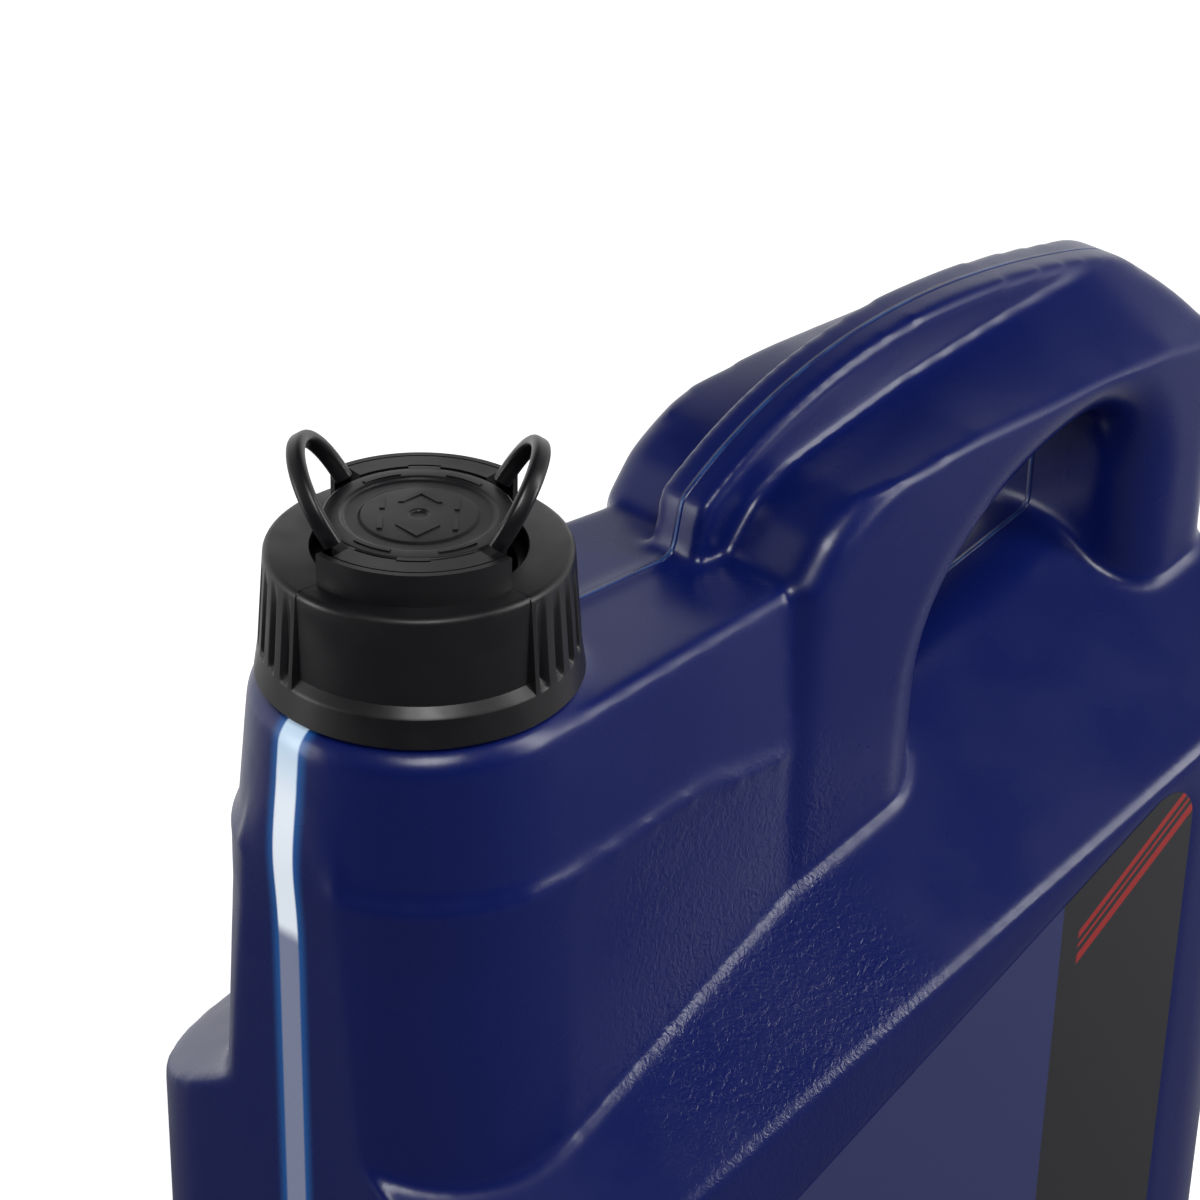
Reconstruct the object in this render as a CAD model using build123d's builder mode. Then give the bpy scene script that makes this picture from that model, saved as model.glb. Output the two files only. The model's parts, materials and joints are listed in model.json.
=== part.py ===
"""Five litre engine oil canister with a through-handle and a pull-out pouring spout.

The canister is one blow-moulded shell: a roofed body, a tower that carries the neck at one
end, and a hollow handle.  The closure is a screw collar with a folded spout inside it, a
pull-up spout cap and two pull rings.  Millimetres, +Z up, origin at the centre of the base,
+X from the neck end towards the far end, -Y the front label side.
"""

import os
from math import cos, radians, sin, tan

from build123d import *

# ---- Canister body ------------------------------------------------------------------------
body_length = 250.0            # along X
body_depth = 124.0             # along Y
corner_radius = 30.0           # plan corners
wall = 1.6                     # moulded wall
seat_height = 239.0            # base to the platform that the closure stands on
base_edge_radius = 8.0
base_recess_depth = 4.0        # hollow under the base, which leaves a standing rim
base_rim_width = 16.0

# ---- Roof of the body, under the handle ----------------------------------------------------
roof_ridge_below_seat = 53.0   # at the middle of the length
roof_rise = 13.5               # the ridge climbs towards the far end
roof_pitch = 30.0              # fall to each label side
roof_crown_radius = 30.0
roof_shoulder_radius = 11.0

# ---- Tower under the closure ---------------------------------------------------------------
neck_to_end = 34.5             # neck axis to the near end face
tower_radius = 33.2            # at the platform
tower_draft = 5.5
tower_tail_width = 50.8        # where the tower runs into the handle
ledge_step = 1.9               # the lower tower stands out by this much
lower_tower_draft = 3.0
ledge_front_below_seat = 30.0  # height of the ledge at the near end face ...
ledge_dip_below_seat = 33.0    # ... at its lowest ...
ledge_tail_below_seat = 22.0   # ... and at the handle
tower_edge_radius = 2.5

# ---- Handle --------------------------------------------------------------------------------
handle_width = 62.0
handle_foot_from_neck = 70.0   # front post wall, at the roof
handle_front_from_neck = 77.0  # front post wall, at the platform
handle_brow_from_neck = 84.0   # where the front wall meets the top
handle_crest_from_neck = 193.0
handle_brow_height = 9.0       # heights above the platform: front of the top ...
handle_crest_height = 30.0     # ... its highest place, near the far end ...
handle_heel_height = 11.0      # ... and where the far end turns down
handle_edge_radius = 7.0       # along the outer edges
grip_edge_radius = 13.0        # around the finger opening
spine_half_width = 8.0         # the top falls away to the sides from here
grip_front_from_neck = 117.0   # opening, front side at the bottom
grip_rear_from_neck = 187.0    # opening, rear side
grip_roof_height = 6.0         # underside of the handle above the platform, at the rear
band_width = 14.0              # raised band along the top
band_brow_height = 3.5         # above the brow of the handle ...
band_crest_height = 2.0        # ... and above its crest
band_front_depth = 8.5         # out from the front post wall
seam_width = 1.0               # parting line ridge
seam_height = 0.8

# ---- Neck ----------------------------------------------------------------------------------
neck_radius = 25.5
neck_bore_radius = 22.5
neck_height = 20.0             # above the platform
seat_ring_radius = 31.2        # low ring that the closure sits over
seat_ring_height = 1.4

# ---- Screw collar --------------------------------------------------------------------------
collar_clearance = 2.0         # collar foot above the platform
collar_ring_radius = 32.0
collar_ring_height = 6.0
collar_ring_top_radius = 31.1
collar_panel_radius = 29.45    # smooth panels front and back
collar_panel_foot = 8.0
collar_height = 26.4
collar_bore_radius = 27.4
collar_top_thickness = 3.9
collar_hole_radius = 20.6      # the spout comes out here
collar_edge_radius = 1.2
panel_half_angle = 47.25
groove_count = 9               # on each side
groove_pitch = 9.5
groove_width = 3.0
crown_radius = 24.9
crown_wall = 1.2
crown_height = 6.6             # above the collar's top
crown_half_angle = 46.5
closure_turn = -45.0           # the crown's openings stand at this angle about the neck

# ---- Spout, its cap and the pull rings -----------------------------------------------------
gasket_thickness = 0.9
spout_wall = 0.9
spout_outer_radius = 19.6
spout_inner_radius = 16.6
spout_fold_below_rim = 18.0
spout_flange_radius = 26.6
spout_flange_thickness = 1.4
cap_radius = 23.3
cap_core_radius = 18.3
cap_slot_width = 0.8
cap_thickness = 3.0
cap_plug_depth = 5.0
cap_plug_wall = 1.4
cap_gate_radius = 1.6
strap_end_angle = 9.5          # from the front and back of the cap
ring_hinge_offset = 15.5       # from the neck axis
ring_half_span = 13.3
ring_height = 16.0
ring_lean = 30.0               # outwards
ring_strap_width = 3.6
ring_strap_thickness = 2.6
ring_hinge_above_cap = 0.6
ring_notch = 0.8               # room round each foot of a pull ring
spout_clearance = 0.3

# ---- Labels and contents -------------------------------------------------------------------
label_thickness = 0.4
label_recess = 0.5
label_margin = 0.6
label_left_from_neck = 6.0
label_right_from_neck = 176.0
label_bottom_height = 30.0
label_top_left_below_seat = 137.0
label_top_right_below_seat = 66.0
label_corner_radius = 10.0
oil_below_seat = 46.0
oil_clearance = 0.6

# ---- Derived places ------------------------------------------------------------------------
neck_x = neck_to_end - body_length / 2
ridge_height = seat_height - roof_ridge_below_seat
collar_foot = seat_height + collar_clearance
neck_rim = seat_height + neck_height + collar_clearance
collar_top = collar_foot + collar_height
closure_plane = Plane(
    origin=(neck_x, 0, 0),
    x_dir=(cos(radians(closure_turn)), sin(radians(closure_turn)), 0),
    z_dir=(0, 0, 1),
)
side_plane = Plane.XZ
neck_axis = Axis((neck_x, 0, 0), (0, 0, 1))


def from_neck(distance):
    """Return the X coordinate at a distance from the neck axis towards the far end."""
    return neck_x + distance


def above_seat(height):
    """Return the Z coordinate at a height above the platform."""
    return seat_height + height


def body_block(inset):
    """Make the roofed block of the body, drawn in by inset on every side."""
    slope = radians(roof_pitch)
    crown = roof_crown_radius - inset
    half_depth = body_depth / 2 - inset
    shoulder = roof_shoulder_radius - inset
    roof_plane = Plane(
        origin=(0, 0, ridge_height),
        x_dir=(0, 1, 0),
        z_dir=(cos(radians(roof_rise)), 0, sin(radians(roof_rise))),
    )
    crown_edge = crown * sin(slope)
    crown_fall = crown * (1 - cos(slope)) + inset
    eaves_fall = crown_fall + (half_depth - crown_edge) * tan(slope)
    with BuildPart() as block:
        with BuildSketch(Plane.XY.offset(inset)):
            RectangleRounded(body_length - 2 * inset, 2 * half_depth, corner_radius - inset)
        extrude(amount=seat_height)
        with BuildSketch(roof_plane) as gable:
            with BuildLine():
                ThreePointArc(
                    (-crown_edge, -crown_fall), (0, -inset), (crown_edge, -crown_fall)
                )
                Line((crown_edge, -crown_fall), (half_depth, -eaves_fall))
                Line((half_depth, -eaves_fall), (half_depth, -2 * seat_height))
                Line((half_depth, -2 * seat_height), (-half_depth, -2 * seat_height))
                Line((-half_depth, -2 * seat_height), (-half_depth, -eaves_fall))
                Line((-half_depth, -eaves_fall), (-crown_edge, -crown_fall))
            make_face()
            eaves = [v for v in gable.vertices() if abs(abs(v.Y) - half_depth) < 0.01
                     and v.Z > ridge_height - seat_height]
            fillet(eaves, radius=shoulder)
        extrude(amount=body_length, both=True, mode=Mode.INTERSECT)
        foot = block.faces().sort_by(Axis.Z)[0]
        fillet(foot.edges(), radius=base_edge_radius - inset)
        with BuildSketch(Plane.XY):
            RectangleRounded(
                body_length - 2 * (base_rim_width - inset),
                body_depth - 2 * (base_rim_width - inset),
                corner_radius - base_rim_width + inset,
            )
        extrude(amount=base_recess_depth + inset, mode=Mode.SUBTRACT)
    return block.part


def tower_plan(radius, tail_half_width, reach):
    """Draw the tower's outline: a round end that narrows to its tail in the handle."""
    with BuildSketch(mode=Mode.PRIVATE) as plan:
        with BuildLine():
            CenterArc((0, 0), radius, 0, 360)
            Line((reach, -tail_half_width), (reach, tail_half_width))
        make_hull()
    return plan.sketch


def tower_block(inset):
    """Make the tower: a drafted upper part on a lower part that stands out at the ledge."""
    reach = handle_front_from_neck + handle_edge_radius
    tail = tower_tail_width / 2 - inset
    depth = seat_height - 2 * corner_radius
    with BuildPart() as lower:
        with BuildSketch(Plane((neck_x, 0, seat_height - inset))):
            add(tower_plan(tower_radius + ledge_step - inset, tail + ledge_step / 2, reach))
        extrude(amount=-depth, taper=-lower_tower_draft)
        with BuildSketch(side_plane) as below_ledge:
            with BuildLine():
                front = from_neck(-2 * tower_radius)
                front_point = (front, above_seat(-ledge_front_below_seat - inset))
                dip_point = (from_neck(tower_radius / 3), above_seat(-ledge_dip_below_seat - inset))
                tail_point = (from_neck(reach), above_seat(-ledge_tail_below_seat - inset))
                Spline(front_point, dip_point, tail_point, tangents=((1, -0.05), (1, 0.35)))
                Line(tail_point, (from_neck(reach), 0))
                Line((from_neck(reach), 0), (front, 0))
                Line((front, 0), front_point)
            make_face()
        extrude(amount=body_depth, both=True, mode=Mode.INTERSECT)
    with BuildPart() as tower:
        with BuildSketch(Plane((neck_x, 0, seat_height - inset))):
            add(tower_plan(tower_radius - inset, tail, reach))
        extrude(amount=-ledge_dip_below_seat - 2 * ledge_step, taper=-tower_draft)
        if inset == 0:
            top_edges = tower.edges().group_by(Axis.Z)[-1]
            fillet(top_edges, radius=tower_edge_radius)
        add(lower.part)
        with BuildSketch(Plane.XY):
            RectangleRounded(body_length - 2 * inset, body_depth - 2 * inset,
                             corner_radius - inset)
        extrude(amount=above_seat(1), mode=Mode.INTERSECT)
    return tower.part


# Along the top of the handle: distance from the neck, height of the spine, height of the sides
handle_stations = (
    (60.0, handle_brow_height, handle_brow_height + 1.5),
    (handle_brow_from_neck, handle_brow_height + 0.5, handle_brow_height + 2.0),
    (94.0, 14.0, 16.0),
    (129.0, 22.0, 18.5),
    (165.0, 27.0, 18.0),
    (handle_crest_from_neck, handle_crest_height, 17.5),
    (220.0, handle_crest_height - 2.0, 14.0),
)


def handle_outline(inset):
    """Draw the handle's side view with its outer edge drawn in by inset."""
    far_end = from_neck(body_length - neck_to_end - inset)
    root = above_seat(-roof_ridge_below_seat - corner_radius)
    with BuildSketch(mode=Mode.PRIVATE) as outline:
        with BuildLine():
            foot = (from_neck(handle_foot_from_neck + inset), root)
            front = (from_neck(handle_front_from_neck + inset), above_seat(0))
            brow = (from_neck(handle_brow_from_neck + inset), above_seat(handle_brow_height - inset))
            crest = (from_neck(handle_crest_from_neck), above_seat(handle_crest_height - inset))
            tail = (far_end, above_seat(handle_heel_height))
            Line(foot, front)
            Line(front, brow)
            Spline(brow, crest, tangents=((1, 0.8), (1, 0.0)))
            Spline(crest, tail, tangents=((1, 0.0), (0, -1)))
            Line(tail, (far_end, root))
            Line((far_end, root), foot)
        make_face()
    return outline.sketch


def handle_crown(inset):
    """Make the space under the handle's top, which falls from its spine to both sides."""
    half_width = handle_width / 2
    root = above_seat(-roof_ridge_below_seat - corner_radius)
    with BuildPart() as crown:
        for distance, spine, side in handle_stations:
            with BuildSketch(Plane.YZ.offset(from_neck(distance))):
                with BuildLine():
                    Polyline(
                        (-half_width, root),
                        (-half_width, above_seat(side - inset)),
                        (-spine_half_width, above_seat(spine - inset)),
                        (spine_half_width, above_seat(spine - inset)),
                        (half_width, above_seat(side - inset)),
                        (half_width, root),
                        close=True,
                    )
                make_face()
        loft(ruled=True)
    return crown.part


def grip_outline(inset):
    """Draw the finger opening in side view, let out by inset."""
    with BuildSketch(mode=Mode.PRIVATE) as opening:
        with BuildLine():
            low_front = (from_neck(grip_front_from_neck - inset), above_seat(-130))
            bend_front = (from_neck(grip_front_from_neck + 3 - inset), above_seat(-38))
            top = (from_neck(grip_rear_from_neck - 18), above_seat(grip_roof_height + inset))
            bend_rear = (from_neck(grip_rear_from_neck + inset), above_seat(-14))
            low_rear = (from_neck(grip_rear_from_neck + inset), above_seat(-130))
            Line(low_front, bend_front)
            Spline(bend_front, top, tangents=((0, 1), (1, 0.12)), tangent_scalars=(1.2, 0.9))
            Spline(top, bend_rear, tangents=((1, 0.12), (0, -1)))
            Line(bend_rear, low_rear)
            Line(low_rear, low_front)
        make_face()
    return opening.sketch


def handle_block(inset):
    """Make the handle: both posts and the grip, over a through opening."""
    floor = above_seat(-roof_ridge_below_seat - corner_radius + 1)
    with BuildPart() as handle:
        with BuildSketch(side_plane):
            add(handle_outline(inset))
            add(grip_outline(inset), mode=Mode.SUBTRACT)
        extrude(amount=handle_width / 2 - inset, both=True)
        front, rear = from_neck(grip_front_from_neck - 8), from_neck(grip_rear_from_neck + 8)
        around_grip = [e for e in handle.faces().filter_by(Axis.Y).edges()
                       if e.center().Z > floor and front < e.center().X < rear
                       and e.center().Z < above_seat(grip_roof_height)]
        fillet(around_grip, radius=grip_edge_radius - inset)
        upright = [e for e in handle.faces().filter_by(Axis.Y).edges()
                   if e.center().Z > floor
                   and (e.center().X < front - 20 or e.center().X > rear + 8)]
        fillet(upright, radius=handle_edge_radius - inset)
        add(handle_crown(inset), mode=Mode.INTERSECT)
    return handle.part


def band_block():
    """Make the raised band along the top of the handle and down its front."""
    crest = handle_crest_height + band_crest_height
    with BuildPart() as band:
        with BuildSketch(side_plane):
            with BuildLine():
                foot = (from_neck(handle_front_from_neck - band_front_depth), above_seat(-3))
                brow = (from_neck(handle_brow_from_neck - band_front_depth - 4),
                        above_seat(handle_brow_height + band_brow_height))
                rear = (from_neck(handle_crest_from_neck), above_seat(crest))
                heel = (from_neck(handle_crest_from_neck + band_width), above_seat(crest - 4))
                Line(foot, brow)
                Spline(brow, rear, heel, tangents=((1, 0.75), (1, -0.5)))
                Line(heel, (heel[0], above_seat(handle_brow_height)))
                Line((heel[0], above_seat(handle_brow_height)), (brow[0] + band_width, foot[1]))
                Line((brow[0] + band_width, foot[1]), foot)
            make_face()
        extrude(amount=band_width / 2, both=True)
    return band.part


def seam_ridge():
    """Make the parting line ridge on the platform between the neck and the handle."""
    with BuildPart() as ridge:
        with BuildSketch(side_plane):
            with BuildLine():
                Polyline(
                    (from_neck(neck_radius + 2), above_seat(-1)),
                    (from_neck(tower_radius + 2), above_seat(seam_height)),
                    (from_neck(handle_foot_from_neck), above_seat(seam_height)),
                    (from_neck(handle_front_from_neck), above_seat(-1)),
                    close=True,
                )
            make_face()
        extrude(amount=seam_width / 2, both=True)
    return ridge.part


def canister_form(inset):
    """Join the body, the tower and the handle; inset is the distance inside the skin."""
    with BuildPart() as form:
        add(body_block(inset))
        add(tower_block(inset))
        add(handle_block(inset))
    return form.part


def ring_sector(inner, outer, middle_angle, half_angle):
    """Draw a sector of a ring, centred on an angle from the sketch's X axis."""
    with BuildSketch(mode=Mode.PRIVATE) as sector:
        with BuildLine():
            start = middle_angle - half_angle
            arc_out = CenterArc((0, 0), outer, start, 2 * half_angle)
            arc_in = CenterArc((0, 0), inner, start, 2 * half_angle)
            Line(arc_out @ 0, arc_in @ 0)
            Line(arc_out @ 1, arc_in @ 1)
        make_face()
    return sector.sketch


def label_outline(margin):
    """Draw a label's outline in side view; margin lets it out all round."""
    with BuildSketch(mode=Mode.PRIVATE) as outline:
        with BuildLine():
            left = from_neck(label_left_from_neck - margin)
            right = from_neck(label_right_from_neck + margin)
            Polyline(
                (left, label_bottom_height - margin),
                (right, label_bottom_height - margin),
                (right, above_seat(-label_top_right_below_seat + margin)),
                (left, above_seat(-label_top_left_below_seat + margin)),
                close=True,
            )
        make_face()
        fillet(outline.vertices(), radius=label_corner_radius + margin)
    return outline.sketch


def section_at(angle):
    """Return the upright plane through the neck axis at an angle from the closure's own X."""
    turn = radians(closure_turn + angle)
    return Plane(
        origin=(neck_x, 0, 0),
        x_dir=(cos(turn), sin(turn), 0),
        z_dir=(sin(turn), -cos(turn), 0),
    )


# ---- Bottle body ---------------------------------------------------------------------------
cavity = canister_form(wall)

with BuildPart() as bottle_body:
    add(canister_form(0))
    add(band_block())
    add(seam_ridge())
    with BuildSketch(Plane((neck_x, 0, seat_height - tower_edge_radius))):
        Circle(seat_ring_radius)
    extrude(amount=tower_edge_radius + seat_ring_height)
    with BuildSketch(Plane((neck_x, 0, seat_height))):
        Circle(neck_radius)
    extrude(amount=neck_rim - seat_height)
    add(cavity, mode=Mode.SUBTRACT)
    with BuildSketch(Plane((neck_x, 0, seat_height - 2 * wall))):
        Circle(neck_bore_radius)
    extrude(amount=neck_rim - seat_height + 2 * wall, mode=Mode.SUBTRACT)
    for side in (1, -1):
        with BuildSketch(side_plane.offset(side * (body_depth / 2 - label_recess))):
            add(label_outline(label_margin))
        extrude(amount=side * roof_shoulder_radius, mode=Mode.SUBTRACT)
bottle_body.part.label = "bottle_body"

# ---- Oil -----------------------------------------------------------------------------------
with BuildPart() as oil_fill:
    add(canister_form(wall + oil_clearance))
    with BuildSketch(Plane.XY.offset(above_seat(-oil_below_seat))):
        Rectangle(2 * body_length, 2 * body_depth)
    extrude(amount=seat_height, mode=Mode.SUBTRACT)
oil_fill.part.label = "oil_fill"

# ---- Labels --------------------------------------------------------------------------------
with BuildPart() as front_label:
    with BuildSketch(side_plane.offset(body_depth / 2 - label_recess)):
        add(label_outline(0))
    extrude(amount=label_thickness)
front_label.part.label = "front_label"

with BuildPart() as back_label:
    with BuildSketch(side_plane.offset(label_recess - body_depth / 2)):
        add(label_outline(0))
    extrude(amount=-label_thickness)
back_label.part.label = "back_label"

# ---- Screw collar --------------------------------------------------------------------------
with BuildPart() as screw_collar:
    with BuildSketch(section_at(0)):
        with BuildLine():
            ring_top = collar_foot + collar_ring_height
            plate_under = collar_top - collar_top_thickness
            edge = collar_top - collar_edge_radius
            Polyline(
                (collar_panel_radius + 0.15 - collar_edge_radius, collar_top),
                (collar_hole_radius, collar_top),
                (collar_hole_radius, plate_under),
                (collar_bore_radius, plate_under),
                (collar_bore_radius, collar_foot),
                (collar_ring_radius, collar_foot),
                (collar_ring_top_radius, ring_top),
                (collar_panel_radius + 0.15, edge),
            )
            RadiusArc(
                (collar_panel_radius + 0.15, edge),
                (collar_panel_radius + 0.15 - collar_edge_radius, collar_top),
                -collar_edge_radius,
            )
        make_face()
    revolve(axis=neck_axis)
    for middle in (90, 270):
        with BuildSketch(section_at(middle - panel_half_angle)):
            with BuildLine():
                Polyline(
                    (collar_ring_top_radius, ring_top),
                    (collar_panel_radius, collar_foot + collar_panel_foot),
                    (collar_panel_radius, collar_top + 1),
                    (collar_ring_radius + 1, collar_top + 1),
                    (collar_ring_radius + 1, ring_top),
                    close=True,
                )
            make_face()
        revolve(axis=neck_axis, revolution_arc=2 * panel_half_angle, mode=Mode.SUBTRACT)
    with BuildSketch(closure_plane.offset(collar_foot + collar_panel_foot)):
        for middle in (0, 180):
            for index in range(groove_count):
                angle = middle + (index - (groove_count - 1) / 2) * groove_pitch
                with Locations(Location((0, 0, 0), (0, 0, angle))):
                    Polygon(
                        (collar_panel_radius - 0.15, 0),
                        (collar_ring_radius + 1, groove_width),
                        (collar_ring_radius + 1, -groove_width),
                        align=None,
                    )
    extrude(amount=collar_height, mode=Mode.SUBTRACT)
    with BuildSketch(closure_plane.offset(collar_top)):
        for middle in (90, 270):
            add(ring_sector(crown_radius - crown_wall, crown_radius, middle, crown_half_angle))
    extrude(amount=crown_height)
screw_collar.part.label = "screw_collar"

# ---- Gasket and pull-out spout -------------------------------------------------------------
with BuildPart() as sealing_gasket:
    with BuildSketch(closure_plane.offset(neck_rim)):
        Circle(neck_radius)
        Circle(neck_bore_radius, mode=Mode.SUBTRACT)
    extrude(amount=gasket_thickness)
sealing_gasket.part.label = "sealing_gasket"

flange_foot = neck_rim + gasket_thickness
cap_top = collar_top + crown_height
cap_under = cap_top - cap_thickness
with BuildPart() as pull_out_spout:
    with BuildSketch(section_at(0)):
        with BuildLine():
            fold = neck_rim - spout_fold_below_rim
            mouth = cap_under - spout_clearance
            Polyline(
                (spout_flange_radius, flange_foot),
                (spout_flange_radius, flange_foot + spout_flange_thickness),
                (spout_outer_radius - spout_wall, flange_foot + spout_flange_thickness),
                (spout_outer_radius - spout_wall, fold + spout_wall),
                (spout_inner_radius, fold + spout_wall),
                (spout_inner_radius, mouth),
                (spout_inner_radius - spout_wall, mouth),
                (spout_inner_radius - spout_wall, fold),
                (spout_outer_radius, fold),
                (spout_outer_radius, flange_foot),
                close=True,
            )
        make_face()
    revolve(axis=neck_axis)
pull_out_spout.part.label = "pull_out_spout"

# ---- Spout cap -----------------------------------------------------------------------------
hinge_height = cap_top + ring_hinge_above_cap
plug_radius = spout_inner_radius - spout_wall - spout_clearance
strap_end = ring_hinge_offset - ring_strap_width / 2 - ring_notch
with BuildPart() as spout_cap:
    with BuildSketch(closure_plane.offset(cap_under)):
        Circle(cap_radius)
        for side in (0, 180):
            slot_half = 90 - strap_end_angle
            add(ring_sector(cap_core_radius, cap_core_radius + cap_slot_width, side, slot_half),
                mode=Mode.SUBTRACT)
            with Locations(Location((0, 0, 0), (0, 0, side))):
                with Locations((strap_end + cap_radius / 2, 0)):
                    Rectangle(cap_radius, 2 * cap_radius, mode=Mode.SUBTRACT)
        Circle(cap_core_radius)
        for x in (-ring_hinge_offset, ring_hinge_offset):
            for y in (-ring_half_span, ring_half_span):
                with Locations((x, y)):
                    Rectangle(ring_strap_width + 2 * ring_notch,
                              ring_strap_thickness + 2 * ring_notch, mode=Mode.SUBTRACT)
    extrude(amount=cap_thickness)
    with BuildSketch(closure_plane.offset(cap_under - cap_plug_depth)):
        Circle(plug_radius)
        Circle(plug_radius - cap_plug_wall, mode=Mode.SUBTRACT)
    extrude(amount=cap_plug_depth)
    with BuildSketch(closure_plane.offset(cap_top)):
        Circle(cap_gate_radius)
    extrude(amount=-cap_thickness / 4, mode=Mode.SUBTRACT)
spout_cap.part.label = "spout_cap"

# ---- Pull rings ----------------------------------------------------------------------------
pull_rings = {}
for name, side in (("pull_ring_left", -1), ("pull_ring_right", 1)):
    lean = radians(ring_lean)
    ring_plane = Plane(
        origin=closure_plane.from_local_coords((side * ring_hinge_offset, 0, hinge_height)),
        x_dir=closure_plane.y_dir,
        z_dir=closure_plane.x_dir * cos(lean) - closure_plane.z_dir * (side * sin(lean)),
    )
    with BuildPart() as pull_ring:
        with BuildSketch(ring_plane.offset(-ring_strap_width / 2)):
            rise = ring_height - ring_half_span - ring_strap_thickness / 2
            with BuildLine():
                Line((-ring_half_span, 0), (-ring_half_span, rise))
                CenterArc((0, rise), ring_half_span, 180, -180)
                Line((ring_half_span, rise), (ring_half_span, 0))
                offset(amount=ring_strap_thickness / 2)
            make_face()
        extrude(amount=ring_strap_width)
    pull_ring.part.label = name
    pull_rings[name] = pull_ring.part

# ---- Write the pieces ----------------------------------------------------------------------
os.makedirs("parts", exist_ok=True)
for piece in (bottle_body, oil_fill, front_label, back_label, screw_collar, sealing_gasket,
              pull_out_spout, spout_cap):
    export_step(piece.part, f"parts/{piece.part.label}.step")
for name, piece in pull_rings.items():
    export_step(piece, f"parts/{name}.step")
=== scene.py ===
"""Navy five litre oil canister with a black pull-out spout closure, dressed over the CAD frame.

Metres, +Z up, origin at the centre of the base, +X from the neck end to the far end of the
handle, -Y towards the front label.  Sizes are written in millimetres and turned with MM.
"""

import json
import logging
from dataclasses import dataclass
from enum import Enum
from math import cos, hypot, pi, radians, sin

import bmesh
import bpy
from mathutils import Matrix, Vector

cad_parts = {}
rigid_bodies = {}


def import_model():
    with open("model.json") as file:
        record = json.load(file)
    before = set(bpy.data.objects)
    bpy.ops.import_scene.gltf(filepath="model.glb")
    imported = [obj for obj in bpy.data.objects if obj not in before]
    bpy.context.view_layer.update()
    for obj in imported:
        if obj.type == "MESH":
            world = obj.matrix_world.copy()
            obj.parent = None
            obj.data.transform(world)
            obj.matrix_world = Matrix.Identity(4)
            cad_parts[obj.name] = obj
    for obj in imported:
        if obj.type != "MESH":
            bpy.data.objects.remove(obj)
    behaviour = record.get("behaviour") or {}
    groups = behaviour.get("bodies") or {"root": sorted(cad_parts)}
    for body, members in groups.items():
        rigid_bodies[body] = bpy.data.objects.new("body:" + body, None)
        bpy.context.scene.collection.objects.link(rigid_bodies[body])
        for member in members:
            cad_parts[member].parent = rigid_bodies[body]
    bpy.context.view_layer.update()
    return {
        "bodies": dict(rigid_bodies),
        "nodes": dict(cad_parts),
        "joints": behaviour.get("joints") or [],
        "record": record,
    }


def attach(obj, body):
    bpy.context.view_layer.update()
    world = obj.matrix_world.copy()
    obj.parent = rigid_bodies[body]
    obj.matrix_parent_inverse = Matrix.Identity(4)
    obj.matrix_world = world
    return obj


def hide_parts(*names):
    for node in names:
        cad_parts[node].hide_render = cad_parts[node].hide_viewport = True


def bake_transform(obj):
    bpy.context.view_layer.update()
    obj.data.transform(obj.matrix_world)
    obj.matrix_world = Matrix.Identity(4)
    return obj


logging.basicConfig(level=logging.INFO, format="%(message)s")
log = logging.getLogger("scene")

MM = 0.001
NECK_X = -90.5                 # neck axis, along X
SEAT = 239.0                   # platform that the closure stands on
NECK_HEIGHT = 22.0             # above the platform
COLLAR_FOOT = SEAT + 2.0
COLLAR_TOP = COLLAR_FOOT + 26.4
CAP_TOP = COLLAR_TOP + 6.6
CLOSURE_TURN = -45.0           # degrees about the neck
STRAP_ROUNDING = 0.42          # corner radius of a strap as a share of its thinner side

Profile = list[tuple[float, float]]


class Lamp(Enum):
    """The softboxes of the studio."""

    KEY = "key"
    LEFT = "left"
    RIGHT = "right"


@dataclass(frozen=True)
class Plastic:
    """A moulded plastic finish.

    Attributes:
        color: Linear base colour.
        roughness: Roughness of the plain surface.
        grain: Size of the orange peel, in millimetres.
        bump: Height of the orange peel, in millimetres.
        scuff: How much the roughness wanders.
    """

    color: tuple[float, float, float]
    roughness: float
    grain: float
    bump: float
    scuff: float


NAVY_HDPE = Plastic((0.0034, 0.0100, 0.1080), roughness=0.27, grain=1.6, bump=0.012, scuff=0.05)
BLACK_PP = Plastic((0.0062, 0.0058, 0.0072), roughness=0.38, grain=0.8, bump=0.010, scuff=0.12)
BLACK_RING = Plastic((0.0062, 0.0058, 0.0072), roughness=0.34, grain=1.2, bump=0.006, scuff=0.08)


# ---- Geometry helpers ----------------------------------------------------------------------
def closure_matrix() -> Matrix:
    """Return the closure's own frame: on the neck axis, turned about it, in metres."""
    return (
        Matrix.Translation((NECK_X * MM, 0, 0))
        @ Matrix.Rotation(radians(CLOSURE_TURN), 4, "Z")
        @ Matrix.Scale(MM, 4)
    )


def finished(
    name: str, bm: bmesh.types.BMesh, matrix: Matrix, smooth: float = 40.0
) -> bpy.types.Object:
    """Turn a bmesh in millimetres into a shown object at the origin.

    Args:
        name: Name of the piece.
        bm: Geometry, freed here.
        matrix: Frame that the geometry is written in.
        smooth: Edges sharper than this many degrees stay sharp.

    Returns:
        The new object.
    """
    bm.transform(matrix)
    bmesh.ops.recalc_face_normals(bm, faces=bm.faces)
    for face in bm.faces:
        face.smooth = True
    for edge in bm.edges:
        edge.smooth = edge.is_manifold and edge.calc_face_angle(0.0) < radians(smooth)
    mesh = bpy.data.meshes.new(name)
    bm.to_mesh(mesh)
    bm.free()
    obj = bpy.data.objects.new(name, mesh)
    bpy.context.scene.collection.objects.link(obj)
    log.info("%s: %d vertices", name, len(mesh.vertices))
    return obj


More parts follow.
